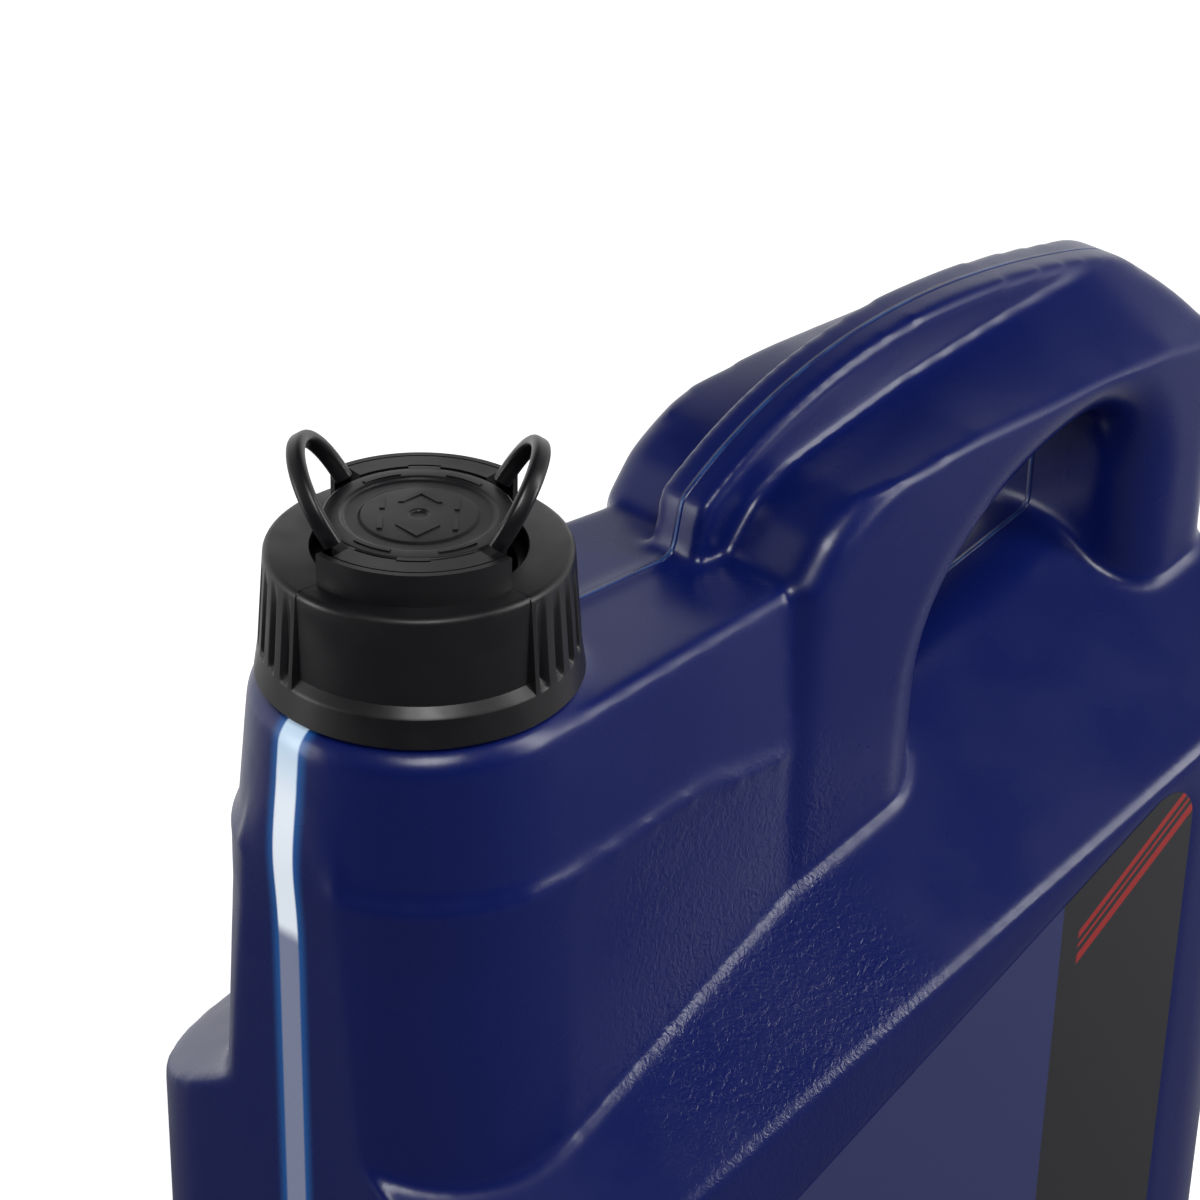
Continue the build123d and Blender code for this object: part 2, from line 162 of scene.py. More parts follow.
def skin(
    bm: bmesh.types.BMesh, rings: list[list[Vector]], closed: bool = True, ends: bool = False
) -> None:
    """Join rows of points with quads.

    Args:
        bm: Mesh that takes the faces.
        rings: Rows with equal numbers of points.
        closed: Whether each row runs back to its own start.
        ends: Whether the first and last rows are filled.
    """
    rows = [[bm.verts.new(p) for p in ring] for ring in rings]
    count = len(rows[0])
    span = count if closed else count - 1
    for low, high in zip(rows, rows[1:]):
        for i in range(span):
            j = (i + 1) % count
            bm.faces.new((low[i], low[j], high[j], high[i]))
    if ends:
        bm.faces.new(reversed(rows[0]))
        bm.faces.new(rows[-1])


def lathe(bm: bmesh.types.BMesh, profile: Profile, steps: int = 160, looped: bool = False) -> None:
    """Spin a profile of (radius, height) points about Z.

    Args:
        bm: Mesh that takes the faces.
        profile: The points from one end to the other.
        steps: Divisions round the axis.
        looped: Whether the profile closes on itself.
    """
    points = profile + profile[:1] if looped else profile
    rings = []
    for radius, height in points:
        turn = [2 * pi * i / steps for i in range(steps)]
        rings.append([Vector((radius * cos(a), radius * sin(a), height)) for a in turn])
    skin(bm, rings)
    bmesh.ops.remove_doubles(bm, verts=bm.verts, dist=0.001)


def rounded(profile: Profile, radius: float, steps: int = 4) -> Profile:
    """Round the inner corners of an open profile.

    Args:
        profile: Corner points.
        radius: Largest rounding; short sides take less.
        steps: Points to each corner.

    Returns:
        The rounded profile, ends kept.
    """
    out = [profile[0]]
    for before, here, after in zip(profile, profile[1:], profile[2:]):
        a = Vector(before) - Vector(here)
        b = Vector(after) - Vector(here)
        reach = min(radius, a.length * 0.45, b.length * 0.45)
        start = Vector(here) + a.normalized() * reach
        end = Vector(here) + b.normalized() * reach
        for i in range(steps + 1):
            t = i / steps
            p = start * (1 - t) ** 2 + Vector(here) * 2 * t * (1 - t) + end * t ** 2
            out.append((p.x, p.y))
    out.append(profile[-1])
    return out


def prism(
    bm: bmesh.types.BMesh, outline: Profile, low: float, high: float, edge: float,
    segments: int = 3,
) -> None:
    """Raise a flat outline into a solid with rounded top and bottom edges.

    Args:
        bm: Mesh that takes the solid.
        outline: Points in X and Y.
        low: Height of its foot.
        high: Height of its top.
        edge: Radius along the edges.
        segments: Steps in each rounding.
    """
    solid = bmesh.new()
    foot = [solid.verts.new((x, y, low)) for x, y in outline]
    top = [solid.verts.new((x, y, high)) for x, y in outline]
    count = len(outline)
    solid.faces.new(reversed(foot))
    solid.faces.new(top)
    for i in range(count):
        j = (i + 1) % count
        solid.faces.new((foot[i], foot[j], top[j], top[i]))
    sharp = [e for e in solid.edges if e.calc_face_angle(0.0) > radians(35)]
    bmesh.ops.bevel(
        solid, geom=sharp, offset=edge, offset_type="OFFSET", segments=segments, profile=0.5,
        affect="EDGES", material=-1, clamp_overlap=True,
    )
    mesh = bpy.data.meshes.new("part")
    solid.to_mesh(mesh)
    solid.free()
    bm.from_mesh(mesh)
    bpy.data.meshes.remove(mesh)


def arc_points(radius: float, start: float, end: float, steps: int) -> Profile:
    """Return points on a circle about the origin; angles in degrees."""
    turn = [radians(start + (end - start) * i / steps) for i in range(steps + 1)]
    return [(radius * cos(a), radius * sin(a)) for a in turn]


def sector(inner: float, outer: float, middle: float, half: float, steps: int = 40) -> Profile:
    """Return the outline of a piece of a ring; angles in degrees."""
    far = arc_points(outer, middle - half, middle + half, steps)
    near = arc_points(inner, middle + half, middle - half, steps)
    return far + near


def sweep(
    bm: bmesh.types.BMesh, path: list[Vector], across: Vector, width: float, thick: float
) -> None:
    """Run a rounded rectangle along a path.

    Args:
        bm: Mesh that takes the strap.
        path: Points along the middle.
        across: Direction of the strap's width, square to the path.
        width: Size along across.
        thick: Size square to it.
    """
    corner = STRAP_ROUNDING * min(width, thick)
    section = []
    for cx, cy, start in ((1, 1, 0), (-1, 1, 90), (-1, -1, 180), (1, -1, 270)):
        for x, y in arc_points(corner, start, start + 90, 4):
            section.append((cx * (width / 2 - corner) + x, cy * (thick / 2 - corner) + y))
    rings = []
    for i, here in enumerate(path):
        ahead = path[min(i + 1, len(path) - 1)]
        behind = path[max(i - 1, 0)]
        along = (ahead - behind).normalized()
        out = along.cross(across).normalized()
        rings.append([here + across * x + out * y for x, y in section])
    skin(bm, rings, ends=True)


# ---- Material helpers ----------------------------------------------------------------------
class Rig:
    """Short calls that add nodes to a tree."""

    def __init__(self, tree: bpy.types.NodeTree) -> None:
        """Work on one tree.

        Args:
            tree: The node tree.
        """
        self.tree = tree

    def add(self, kind: str) -> bpy.types.Node:
        """Return a new node of that kind."""
        return self.tree.nodes.new(kind)

    def put(self, socket, value) -> None:
        """Link a socket to another, or set it to a constant."""
        if isinstance(value, bpy.types.NodeSocket):
            self.tree.links.new(value, socket)
        else:
            socket.default_value = value

    def math(self, operation: str, a, b=0.0, c=0.0, clamp: bool = False):
        """Return the output of a math node."""
        node = self.add("ShaderNodeMath")
        node.operation = operation
        node.use_clamp = clamp
        for socket, value in zip(node.inputs, (a, b, c)):
            self.put(socket, value)
        return node.outputs[0]

    def ramp(self, value, low: float, high: float, start: float = 0.0, end: float = 1.0):
        """Return value mapped smoothly and clamped from low..high to start..end."""
        node = self.add("ShaderNodeMapRange")
        node.interpolation_type = "SMOOTHSTEP"
        node.clamp = True
        for socket, number in zip(node.inputs, (value, low, high, start, end)):
            self.put(socket, number)
        return node.outputs[0]

    def band(self, value, centre: float, half: float, soft: float):
        """Return 1 within half of centre, falling to 0 over soft."""
        away = self.math("ABSOLUTE", self.math("SUBTRACT", value, centre))
        return self.ramp(away, half - soft / 2, half + soft / 2, 1.0, 0.0)


class Nodes(Rig):
    """A material's node tree, with the object's coordinates at hand."""

    def __init__(self, name: str) -> None:
        """Start a material with a Principled shader.

        Args:
            name: Name of the material.
        """
        self.material = bpy.data.materials.new(name)
        self.material.use_nodes = True
        super().__init__(self.material.node_tree)
        self.shader = self.tree.nodes["Principled BSDF"]
        self.place = self.add("ShaderNodeTexCoord").outputs["Object"]
        split = self.add("ShaderNodeSeparateXYZ")
        self.tree.links.new(self.place, split.inputs[0])
        self.x, self.y, self.z = split.outputs

    def noise(
        self, size_mm: float, detail: float = 3.0, stretch=(1, 1, 1), distortion: float = 0.0
    ):
        """Return a noise value whose cells are about size_mm across."""
        scaled = self.add("ShaderNodeVectorMath")
        scaled.operation = "MULTIPLY"
        self.put(scaled.inputs[0], self.place)
        self.put(scaled.inputs[1], stretch)
        node = self.add("ShaderNodeTexNoise")
        self.put(node.inputs["Vector"], scaled.outputs[0])
        self.put(node.inputs["Scale"], 1.0 / (size_mm * MM))
        self.put(node.inputs["Detail"], detail)
        self.put(node.inputs["Distortion"], distortion)
        return node.outputs[0]

    def mix(self, factor, a, b):
        """Return two colours mixed by factor."""
        node = self.add("ShaderNodeMix")
        node.data_type = "RGBA"
        self.put(node.inputs[0], factor)
        self.put(node.inputs[6], (*a, 1.0) if isinstance(a, tuple) and len(a) == 3 else a)
        self.put(node.inputs[7], (*b, 1.0) if isinstance(b, tuple) and len(b) == 3 else b)
        return node.outputs[2]

    def bump(self, height, depth_mm: float, below=None):
        """Return a bump normal, on top of another when below is given."""
        node = self.add("ShaderNodeBump")
        self.put(node.inputs["Height"], height)
        self.put(node.inputs["Distance"], depth_mm * MM)
        self.put(node.inputs["Strength"], 1.0)
        if below is not None:
            self.put(node.inputs["Normal"], below)
        return node.outputs[0]

    def finish(self, **values) -> bpy.types.Material:
        """Set the shader's inputs by name and return the material."""
        for key, value in values.items():
            self.put(self.shader.inputs[key.replace("_", " ")], value)
        return self.material


def plain_plastic(name: str, plastic: Plastic) -> bpy.types.Material:
    """Make a plastic with orange peel and faint scuffs.

    Args:
        name: Name of the material.
        plastic: The finish.

    Returns:
        The material.
    """
    n = Nodes(name)
    wander = n.noise(14.0, 4.0)
    rough = n.ramp(wander, 0.3, 0.7, plastic.roughness - plastic.scuff / 2,
                   plastic.roughness + plastic.scuff)
    peel = n.bump(n.noise(plastic.grain, 2.0), plastic.bump)
    return n.finish(Base_Color=(*plastic.color, 1.0), Roughness=rough, Normal=peel)


# ---- The canister --------------------------------------------------------------------------
@dataclass
class Canister:
    """The blow-moulded shell, its neck and the print on its sides.

    Attributes:
        voxel: Cell of the skin, in millimetres.
        softness: Smoothing passes over the skin, and grip_softness over the finger opening.
        split_below_seat: Where the skin is parted into an upper and a lower piece.
        ledge_slope: Height over which the tower runs out to its ledge; ledge_fade_slope is
            the height beside the stripe, where the ledge fades out.
        ledge_push: How far it runs out above the ledge, and ledge_rise below it.
        ledge_zone: Lowest and highest place of the ledge below the platform.
        strip_zone: The same for the smooth strip that carries the stripe.
        post_start: Where the ledge stops at the handle, along X.
        neck_cut: Height above the platform at which the moulded skin hands over to the neck.
        thread_start: Height of the thread's first turn above the platform.
    """

    voxel: float = 1.2
    softness: int = 4
    grip_softness: int = 30
    split_below_seat: float = 97.0
    ledge_slope: float = 4.5
    ledge_push: float = 1.4
    ledge_rise: float = 0.6
    ledge_side: float = 20.0
    ledge_bin: float = 4.0
    ledge_tail: float = 13.0
    ledge_fade_end: float = 16.0
    ledge_fade_slope: float = 24.0
    ledge_fade_width: float = 6.0
    ledge_run_out: float = 4.0
    ledge_margin: float = 2.0
    ledge_zone: tuple[float, float] = (60.0, 4.0)
    ledge_half_width: float = 45.0
    end_from_neck: float = 20.0
    ledge_softness: int = 5
    ledge_even: int = 6
    stripe_softness: int = 60
    strip_zone: tuple[float, float] = (50.0, 10.0)
    strip_half_width: float = 13.0
    strip_from_neck: float = 26.0
    post_start: float = -14.5
    neck_cut: float = 3.0
    neck_radius: float = 25.5
    bore_radius: float = 22.5
    neck_height: float = NECK_HEIGHT
    thread_turns: float = 2.2
    thread_pitch: float = 6.5
    thread_start: float = 4.5
    thread_width: float = 1.8
    thread_depth: float = 0.9
    thread_fade: int = 12
    thread_steps: int = 90
    stripe_half: float = 2.9
    stripe_glow: float = 0.48
    oil_below_seat: float = 46.0

    def outer_skin(self, frame: dict) -> bmesh.types.BMesh:
        """Take the outside of the CAD shell as a closed surface.


        Returns:
            The skin in metres, closed across the neck.
        """
        bm = bmesh.new()
        bm.from_mesh(frame["nodes"]["bottle_body"].data)
        bmesh.ops.remove_doubles(bm, verts=bm.verts, dist=1e-6)
        everything = bm.verts[:] + bm.edges[:] + bm.faces[:]
        bmesh.ops.bisect_plane(
            bm, geom=everything, plane_co=(0, 0, (SEAT + self.neck_cut) * MM), plane_no=(0, 0, 1),
            clear_outer=False,
        )
        above = (SEAT + self.neck_cut) * MM + 1e-7
        near_neck = [
            f for f in bm.faces
            if f.calc_center_median().z > above
            and hypot(f.calc_center_median().x - NECK_X * MM, f.calc_center_median().y)
            < (self.neck_radius + 1) * MM
        ]
        bmesh.ops.delete(bm, geom=near_neck, context="FACES")
        start = min(bm.verts, key=lambda v: v.co.z)
        seen = {start}
        stack = [start]
        while stack:
            for edge in stack.pop().link_edges:
                for vert in edge.verts:
                    if vert not in seen:
                        seen.add(vert)
                        stack.append(vert)
        bmesh.ops.delete(bm, geom=[v for v in bm.verts if v not in seen], context="VERTS")
        rim = [e for e in bm.edges if e.is_boundary]
        bmesh.ops.holes_fill(bm, edges=rim, sides=0)
        return bm

    def build_shell(self, frame: dict) -> None:
        """Make the shell in two pieces: the CAD's outside with moulded, soft edges.
        """
        source = finished("shell_source", self.outer_skin(frame), Matrix.Identity(4))
        remesh = source.modifiers.new("cells", "REMESH")
        remesh.mode = "VOXEL"
        remesh.voxel_size = self.voxel * MM
        bm = bmesh.new()
        bm.from_object(source, bpy.context.evaluated_depsgraph_get())
        bpy.data.objects.remove(source)
        bmesh.ops.recalc_face_normals(bm, faces=bm.faces)
        self.soften(bm, bm.verts, self.softness)
        self.soften(bm, [v for v in bm.verts if self.on_grip_top(v)], self.grip_softness)
        self.shape_ledge(bm, frame)
        self.soften(bm, bm.verts, 1)
        self.open_bore(bm)
        bm.normal_update()
        material = self.shell_material()
        split = (SEAT - self.split_below_seat) * MM
        for name, keep_above in (("canister_upper", True), ("canister_lower", False)):
            half = bm.copy()
            drop = [f for f in half.faces if (f.calc_center_median().z > split) != keep_above]
            bmesh.ops.delete(half, geom=drop, context="FACES")
            whole = {self.key(v.co): v.normal for v in bm.verts if abs(v.co.z - split) < 0.004}
            normals = [whole.get(self.key(v.co), v.normal).copy() for v in half.verts]
            mesh = bpy.data.meshes.new(name)
            half.to_mesh(mesh)
            half.free()
            mesh.shade_smooth()
            mesh.normals_split_custom_set_from_vertices(normals)
            piece = bpy.data.objects.new(name, mesh)
            bpy.context.scene.collection.objects.link(piece)
            mesh.materials.append(material)
            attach(piece, "bottle")
            if keep_above:
                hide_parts("bottle_body")
            log.info("%s: %d faces", name, len(mesh.polygons))
        bm.free()

    @staticmethod
    def key(place: Vector) -> tuple[int, int, int]:
        """Return a place rounded to a micrometre, to match vertices by."""
        return tuple(round(c * 1e6) for c in place)

    @staticmethod
    def soften(bm: bmesh.types.BMesh, verts, passes: int) -> None:
        """Smooth some vertices a number of times."""
        chosen = list(verts)
        for _ in range(passes):
            bmesh.ops.smooth_vert(bm, verts=chosen, factor=0.5, use_axis_x=True,
                                  use_axis_y=True, use_axis_z=True)

    @staticmethod
    def on_grip_top(vert: bmesh.types.BMVert) -> bool:
        """Tell whether a vertex is on the broad top of the handle, off the raised band."""
        x, y, z = vert.co / MM
        return x > 0 and z > SEAT + 12 and 9.0 < abs(y) < 26.0

    def find_ledge(self, frame: dict) -> list[tuple[float, float]]:
        """Measure the tower's ledge on the CAD shell.


        Returns:
            Places along X with the ledge's height there, in millimetres.
        """
        mesh = frame["nodes"]["bottle_body"].data
        found: dict[int, list[float]] = {}
        for face in mesh.polygons:
            x, y, z = face.center / MM
            if (face.normal.z > 0.8 and SEAT - 40 < z < SEAT - 15 and abs(y) > self.ledge_side
                    and x < self.post_start):
                for index in face.vertices:
                    place = mesh.vertices[index].co / MM
                    found.setdefault(round(place.x / self.ledge_bin), []).append(place.z)
        ledge = [(key * self.ledge_bin, sum(z) / len(z)) for key, z in sorted(found.items())]
        for _ in range(self.ledge_even):
            inside = [
                (here[0], (before[1] + 2 * here[1] + after[1]) / 4)
                for before, here, after in zip(ledge, ledge[1:], ledge[2:])
            ]
            ledge = [ledge[0], *inside, ledge[-1]]
        return ledge

    def ledge_height(self, ledge: list[tuple[float, float]], x: float) -> float:
        """Return the ledge's height at a place along X, in millimetres."""
        if x <= ledge[0][0]:
            return ledge[0][1]
        for (x0, z0), (x1, z1) in zip(ledge, ledge[1:]):
            if x <= x1:
                return z0 + (z1 - z0) * (x - x0) / (x1 - x0)
        return ledge[-1][1]

    def shape_ledge(self, bm: bmesh.types.BMesh, frame: dict) -> None:
        """Draw the tower's step out into a sloping ledge that fades beside the stripe.

        Args:
            bm: The skin, in metres.
        """
        ledge = self.find_ledge(frame)
        log.info("ledge measured at %d places", len(ledge))
        touched = []
        for vert in bm.verts:
            x, y, z = vert.co / MM
            if not SEAT - self.ledge_zone[0] < z < SEAT - self.ledge_zone[1]:
                continue
            if x >= self.post_start or abs(y) >= self.ledge_half_width:
                continue
            out = Vector((vert.normal.x, vert.normal.y, 0))
            if out.length < 0.5:
                continue
            above = z - self.ledge_height(ledge, x)
            middle = min(1.0, max(0.0, (self.ledge_fade_end - abs(y)) / self.ledge_fade_width))
            if x > NECK_X - self.end_from_neck:
                middle = 0.0
            slope = self.ledge_slope + (self.ledge_fade_slope - self.ledge_slope) * middle
            if abs(above) < slope + self.ledge_margin:
                touched.append(vert)
            if above >= slope or above < -self.ledge_tail:
                continue
            if above > 0:
                t = 1 - above / slope
                push = self.ledge_push * t * t * (3 - 2 * t)
            else:
                push = self.ledge_rise * (1 + above / self.ledge_tail)
            fade = min(1.0, (self.post_start - x) / self.ledge_run_out)
            vert.co += out.normalized() * push * fade * MM
        self.soften(bm, touched, self.ledge_softness)
        low, high = (SEAT - below for below in self.strip_zone)
        strip = [
            v for v in bm.verts
            if v.co.x < (NECK_X - self.strip_from_neck) * MM
            and abs(v.co.y) < self.strip_half_width * MM
            and low * MM < v.co.z < high * MM
        ]
        self.soften(bm, strip, self.stripe_softness)

    def open_bore(self, bm: bmesh.types.BMesh) -> None:
        """Cut the bore through the top of the skin."""
        top = (SEAT + self.neck_cut - self.voxel) * MM
        bore = [
            f for f in bm.faces
            if f.calc_center_median().z > top
            and hypot(f.calc_center_median().x - NECK_X * MM, f.calc_center_median().y)
            < self.bore_radius * MM
        ]
        bmesh.ops.delete(bm, geom=bore, context="FACES")

    def build_neck(self) -> bpy.types.Object:
        """Make the neck with its screw thread.

        Returns:
            The neck.
        """
        bm = bmesh.new()
        foot = SEAT - 1.0
        top = SEAT + self.neck_height
        wall = rounded([
            (self.bore_radius, foot), (self.bore_radius, top), (self.neck_radius, top),
            (self.neck_radius, foot),
        ], 0.8)
        lathe(bm, wall)
        path = []
        count = int(self.thread_turns * self.thread_steps)
        for i in range(count + 1):
            turn = 2 * pi * i / self.thread_steps
            fade = min(1.0, i / self.thread_fade, (count - i) / self.thread_fade)
            radius = self.neck_radius - self.thread_depth + fade
            height = SEAT + self.thread_start + self.thread_pitch * i / self.thread_steps
            path.append(Vector((radius * cos(turn), radius * sin(turn), height)))
        sweep(bm, path, Vector((0, 0, 1)), self.thread_width, self.thread_width)
        neck = finished("threaded_neck", bm, closure_matrix())
        neck.data.materials.append(plain_plastic("navy_neck", NAVY_HDPE))
        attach(neck, "bottle")
        return neck

    def shell_material(self) -> bpy.types.Material:
        """Make the navy plastic with its view stripe, parting line and moulding marks.

        Returns:
            The material.
        """
        n = Nodes("navy_hdpe")
        seat = SEAT * MM
        # the clear stripe down the middle of the near end
        on_end = n.ramp(n.x, -0.104, -0.108, 0.0, 1.0)
        stripe = n.math("MULTIPLY", n.band(n.y, 0.0, self.stripe_half * MM, 0.0007), on_end)
        glow = n.math("MULTIPLY", n.band(n.y, 0.0, (self.stripe_half + 1.6) * MM, 0.0030), on_end)
        oil_top = seat - self.oil_below_seat * MM
        ripple = n.math("MULTIPLY", n.noise(5.0, 1.0), 0.001)
        oil = n.ramp(n.math("ADD", n.z, ripple), oil_top, oil_top + 0.004, 1.0, 0.0)
        shaded = n.ramp(n.z, seat - 0.016, seat - 0.001, 0.0, 0.55)
        pale = n.mix(shaded, (0.72, 0.78, 0.85), (0.26, 0.46, 0.66))
        filled = n.mix(oil, pale, (0.17, 0.19, 0.28))
        # painted highlight along the parting line: a thin bright line on the middle plane, above
        # the roof
        line = n.band(n.y, 0.0, 0.00045, 0.0004)
        above = n.ramp(n.z, seat - 0.050, seat - 0.045, 0.0, 1.0)
        away = n.ramp(n.x, -0.060, -0.055, 0.0, 1.0)
        # noise breaks the painted highlight of the parting line into pieces
        highlight_breakup = n.ramp(n.noise(9.0, 2.0), 0.42, 0.60, 0.25, 1.0)
        seam_highlight = n.math("MULTIPLY", n.math("MULTIPLY", line, above), n.math("MULTIPLY", away, highlight_breakup))
        base = n.mix(n.noise(40.0, 2.0), NAVY_HDPE.color, tuple(c * 1.15 for c in NAVY_HDPE.color))
        # the painted highlight of the parting line is mixed into the navy colour
        blue = n.mix(n.math("MULTIPLY", seam_highlight, 0.75), base, (0.020, 0.085, 0.30))
        edged = n.mix(n.math("MULTIPLY", glow, 0.85), blue, (0.018, 0.15, 0.50))
        color = n.mix(stripe, edged, filled)
        # moulding marks: fine peel everywhere, wrinkles low on the tower and the roof beside it
        peel = n.noise(NAVY_HDPE.grain, 2.0)
        fine = n.bump(peel, 0.010)
        low = n.ramp(n.z, seat - 0.026, seat - 0.040, 0.0, 1.0)
        near_x = n.ramp(n.x, -0.085, -0.055, 0.0, 1.0)
        far_x = n.ramp(n.x, 0.010, -0.015, 0.0, 1.0)
        patch = n.math("MULTIPLY", n.math("MULTIPLY", low, near_x), far_x)
        creased = n.noise(1.7, 2.0, (1.0, 1.0, 0.8), 1.2)
        wrinkle = n.math("MULTIPLY", creased, patch)
        marked = n.bump(wrinkle, 0.16, fine)
        reach = n.math("MULTIPLY", above, away)
        ridge = n.math("MULTIPLY", n.band(n.y, 0.0, 0.0005, 0.0006), reach)
        marked = n.bump(ridge, 0.35, marked)
        rough = n.ramp(n.noise(22.0, 3.0), 0.3, 0.7, NAVY_HDPE.roughness - 0.02,
                       NAVY_HDPE.roughness + NAVY_HDPE.scuff)
        # the stripe glows by emission: painted light coming through the clear stripe
        lit = n.math("MULTIPLY", stripe, self.stripe_glow)
        return n.finish(Base_Color=color, Roughness=rough, Normal=marked,
                        Emission_Color=filled, Emission_Strength=lit)


@dataclass
class Labels:
    """The printed labels on both sides, kept from the frame and printed by their material."""

    block_start: float = 40.5
    block_color: tuple[float, float, float] = (0.030, 0.030, 0.034)
    field_color: tuple[float, float, float] = (0.040, 0.048, 0.160)
    line_color: tuple[float, float, float] = (0.42, 0.030, 0.030)
    line_slope: float = 0.62
    line_places: tuple[tuple[float, float], ...] = (
        (0.1150, 0.0010), (0.1120, 0.0005), (0.1085, 0.0013),
    )

    def build(self, frame: dict) -> None:
        """Give both labels their print.
        """
        for name in ("front_label", "back_label"):
            label = frame["nodes"][name]
            label.data.materials.clear()
            label.data.materials.append(self.print_material(name))

    def print_material(self, name: str) -> bpy.types.Material:
        """Make a generic print: a blue field, a dark block and slanting red lines.

        Args:
            name: Name of the label.

        Returns:
            The material.
        """
        n = Nodes(f"{name}_print")
        block = n.ramp(n.x, self.block_start * MM, (self.block_start + 0.6) * MM, 0.0, 1.0)
        field = n.mix(block, self.field_color, self.block_color)
        slant = n.math("SUBTRACT", n.z, n.math("MULTIPLY", n.x, self.line_slope))
        lines = None
        for offset, half in self.line_places:
            one = n.band(slant, offset, half, 0.0003)
            lines = one if lines is None else n.math("MAXIMUM", lines, one)
        starts = n.ramp(n.x, (self.block_start + 6) * MM, (self.block_start + 7) * MM, 0.0, 1.0)
        red = n.math("MULTIPLY", lines, starts)
        color = n.mix(red, field, self.line_color)
        return n.finish(Base_Color=color, Roughness=0.38)


# ---- The closure ---------------------------------------------------------------------------
@dataclass
class Collar:
    """The screw collar: a grip ring, smooth panels, ribbed sides and the crown round the cap."""

    ring_radius: float = 32.0
    ring_top_radius: float = 31.1
    ring_height: float = 6.0
    body_top_radius: float = 29.6
    panel_radius: float = 29.45
    panel_half: float = 47.25
    groove_count: int = 9
    groove_pitch: float = 9.5
    groove_width: float = 1.45
    groove_floor: float = 29.3
    groove_top: float = 24.5
    groove_fade: float = 4.0
    bore: float = 27.4
    hole: float = 20.6
    crown_outer: float = 24.9
    crown_inner: float = 23.7
    crown_half: float = 46.5
    steps: int = 1080
    foot_tuck: float = 0.35
    foot_tuck_height: float = 0.4
    shoulder: float = 1.4
    top_thick: float = 3.9
    edge: float = 0.3

    def row(self, up: float, level: float, draw: float) -> list[Vector]:
        """Return one row of points round the outside.

        Args:
            up: Height above the foot whose radius is taken.
            level: Height that the row is placed at.
            draw: How far it is drawn in.

        Returns:
            The points.
        """
        points = []
        for i in range(self.steps):
            turn = 360 * i / self.steps
            r = self.radius_at(turn, up) - draw
            a = radians(turn)
            points.append(Vector((r * cos(a), r * sin(a), level)))
        return points

    def radius_at(self, turn: float, up: float) -> float:
        """Return the outer radius of the collar.

        Args:
            turn: Angle in the closure's frame, in degrees.
            up: Height above the collar's foot.

        Returns:
            The radius in millimetres.
        """
        height = COLLAR_TOP - COLLAR_FOOT
        ring = self.ring_radius + (self.ring_top_radius - self.ring_radius) * up / self.ring_height
        if up <= self.ring_height:
            return ring
        climb = (up - self.ring_height) / (height - self.ring_height)
        side = self.ring_top_radius + (self.body_top_radius - self.ring_top_radius) * climb
        folded = abs((turn + 90) % 180 - 90)
        ease = min(1.0, (up - self.ring_height) / 2.0)
        panel = self.ring_top_radius + (self.panel_radius - self.ring_top_radius) * ease
        if folded > 90 - self.panel_half:
            return min(panel, side)
        inner = min(side, self.ring_top_radius + (self.groove_floor - self.ring_top_radius) * ease)
        spread = (self.groove_count - 1) / 2 * self.groove_pitch
        nearest = round(min(max(folded, 0.0), spread) / self.groove_pitch) * self.groove_pitch
        reach = abs(folded - nearest) * pi / 180 * self.ring_radius
        if folded < spread + self.groove_pitch / 2 and reach < self.groove_width:
            depth = 1 - reach / self.groove_width
            depth *= min(1.0, max(0.0, (self.groove_top - up) / self.groove_fade))
            return side + (inner - side) * min(1.0, depth * 1.6)
        return side

    def build(self) -> bpy.types.Object:
        """Make the collar with its crown.

        Returns:
            The collar.
        """
        bm = bmesh.new()
        height = COLLAR_TOP - COLLAR_FOOT
        levels = [0.0, 0.15, 0.4, 1.5, 3.0, 4.6, 5.6, 5.9, 6.05, 6.5, 7.2, 8.0, 9.0, 12.0, 16.0,
                  20.0, 23.0, height - self.shoulder]
        rings = []
        for up in levels:
            tuck = self.foot_tuck * max(0.0, 1 - up / self.foot_tuck_height)
            rings.append(self.row(up, COLLAR_FOOT + up, tuck))
        for drop, draw in ((1.0, 0.06), (0.6, 0.25), (0.25, 0.65), (0.0, 1.3)):
            rings.append(self.row(height - self.shoulder, COLLAR_TOP - drop, draw))
        ceiling = COLLAR_TOP - self.top_thick
        for radius, level in (
            (self.hole + self.edge, COLLAR_TOP), (self.hole, COLLAR_TOP - self.edge),
            (self.hole, ceiling), (self.bore, ceiling),
            (self.bore, COLLAR_FOOT + self.edge), (self.bore + self.edge, COLLAR_FOOT),
        ):
            turns = [2 * pi * i / self.steps for i in range(self.steps)]
            rings.append([Vector((radius * cos(a), radius * sin(a), level)) for a in turns])
        rings.append(rings[0])
        skin(bm, rings)
        bmesh.ops.remove_doubles(bm, verts=bm.verts, dist=0.0005)
        for middle in (90, 270):
            outline = sector(self.crown_inner, self.crown_outer, middle, self.crown_half)
            prism(bm, outline, COLLAR_TOP - 0.5, CAP_TOP, 0.35)
        collar = finished("screw_collar_shell", bm, closure_matrix(), smooth=35)
        collar.data.materials.append(plain_plastic("black_pp", BLACK_PP))
        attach(collar, "collar")
        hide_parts("screw_collar")
        return collar


